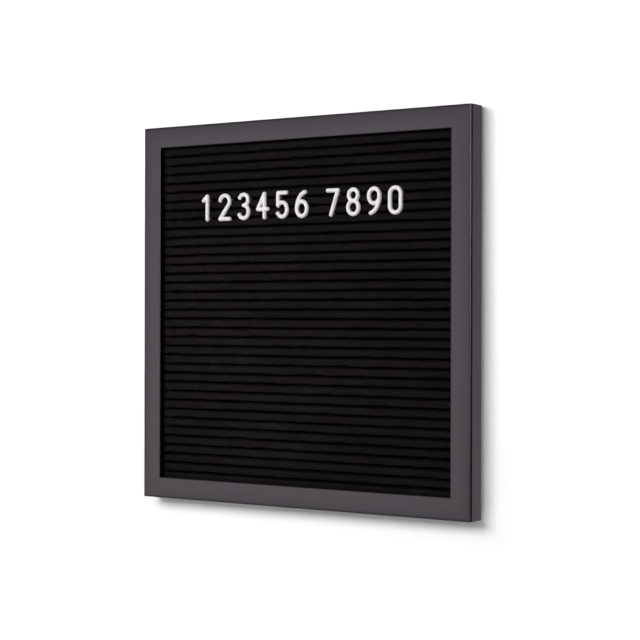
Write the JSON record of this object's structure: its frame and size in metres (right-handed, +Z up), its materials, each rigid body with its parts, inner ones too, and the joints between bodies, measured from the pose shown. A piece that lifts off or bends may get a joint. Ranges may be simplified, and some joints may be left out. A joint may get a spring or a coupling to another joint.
{
  "type": "letter board",
  "caption": "Square wall-hung letter board: slim mitred frame, black felt folded over slats into horizontal grooves, and white push-in numerals that pull out.",
  "frame": {"origin": "centre notch of the sawtooth hanger on the back, where the wall hook carries the board", "axes": "+Z up, +X to the viewer's right when facing the board, +Y into the wall, so the felt faces -Y"},
  "size_m": [0.254, 0.0163, 0.2529],
  "materials": {
    "satin_lacquer": "dark satin lacquer on a wooden moulding",
    "black_felt": "matt pressed felt",
    "white_plastic": "smooth moulded, off-white",
    "slat_wood": "sawn, unpainted",
    "brown_hardboard": "pressed hardboard",
    "zinc_steel": "zinc plated"
  },
  "bodies": {
    "board": {"top_rail": "satin_lacquer", "bottom_rail": "satin_lacquer", "left_rail": "satin_lacquer", "right_rail": "satin_lacquer", "felt_sheet": "black_felt", "slat_01": "slat_wood", "slat_02": "slat_wood", "slat_03": "slat_wood", "slat_04": "slat_wood", "slat_05": "slat_wood", "slat_06": "slat_wood", "slat_07": "slat_wood", "slat_08": "slat_wood", "slat_09": "slat_wood", "slat_10": "slat_wood", "slat_11": "slat_wood", "slat_12": "slat_wood", "slat_13": "slat_wood", "slat_14": "slat_wood", "slat_15": "slat_wood", "slat_16": "slat_wood", "slat_17": "slat_wood", "slat_18": "slat_wood", "slat_19": "slat_wood", "slat_20": "slat_wood", "slat_21": "slat_wood", "slat_22": "slat_wood", "slat_23": "slat_wood", "slat_24": "slat_wood", "slat_25": "slat_wood", "slat_26": "slat_wood", "slat_27": "slat_wood", "slat_28": "slat_wood", "slat_29": "slat_wood", "slat_30": "slat_wood", "slat_31": "slat_wood", "slat_32": "slat_wood", "slat_33": "slat_wood", "slat_34": "slat_wood", "slat_35": "slat_wood", "slat_36": "slat_wood", "slat_37": "slat_wood", "back_board": "brown_hardboard", "top_point": "zinc_steel", "bottom_point": "zinc_steel", "left_point": "zinc_steel", "right_point": "zinc_steel", "sawtooth_hanger": "zinc_steel", "hanger_nail_left": "zinc_steel", "hanger_nail_right": "zinc_steel"},
    "numeral_1": {"numeral_1": "white_plastic"},
    "numeral_2": {"numeral_2": "white_plastic"},
    "numeral_3": {"numeral_3": "white_plastic"},
    "numeral_4": {"numeral_4": "white_plastic"},
    "numeral_5": {"numeral_5": "white_plastic"},
    "numeral_6": {"numeral_6": "white_plastic"},
    "numeral_7": {"numeral_7": "white_plastic"},
    "numeral_8": {"numeral_8": "white_plastic"},
    "numeral_9": {"numeral_9": "white_plastic"},
    "numeral_0": {"numeral_0": "white_plastic"}
  },
  "joints": [
    {"name": "numeral_1_pull", "type": "slide", "parent": "board", "child": "numeral_1", "axis": [0, -1, 0], "range_m": [0, 0.01]},
    {"name": "numeral_2_pull", "type": "slide", "parent": "board", "child": "numeral_2", "axis": [0, -1, 0], "range_m": [0, 0.01]},
    {"name": "numeral_3_pull", "type": "slide", "parent": "board", "child": "numeral_3", "axis": [0, -1, 0], "range_m": [0, 0.01]},
    {"name": "numeral_4_pull", "type": "slide", "parent": "board", "child": "numeral_4", "axis": [0, -1, 0], "range_m": [0, 0.01]},
    {"name": "numeral_5_pull", "type": "slide", "parent": "board", "child": "numeral_5", "axis": [0, -1, 0], "range_m": [0, 0.01]},
    {"name": "numeral_6_pull", "type": "slide", "parent": "board", "child": "numeral_6", "axis": [0, -1, 0], "range_m": [0, 0.01]},
    {"name": "numeral_7_pull", "type": "slide", "parent": "board", "child": "numeral_7", "axis": [0, -1, 0], "range_m": [0, 0.01]},
    {"name": "numeral_8_pull", "type": "slide", "parent": "board", "child": "numeral_8", "axis": [0, -1, 0], "range_m": [0, 0.01]},
    {"name": "numeral_9_pull", "type": "slide", "parent": "board", "child": "numeral_9", "axis": [0, -1, 0], "range_m": [0, 0.01]},
    {"name": "numeral_0_pull", "type": "slide", "parent": "board", "child": "numeral_0", "axis": [0, -1, 0], "range_m": [0, 0.01]}
  ]
}
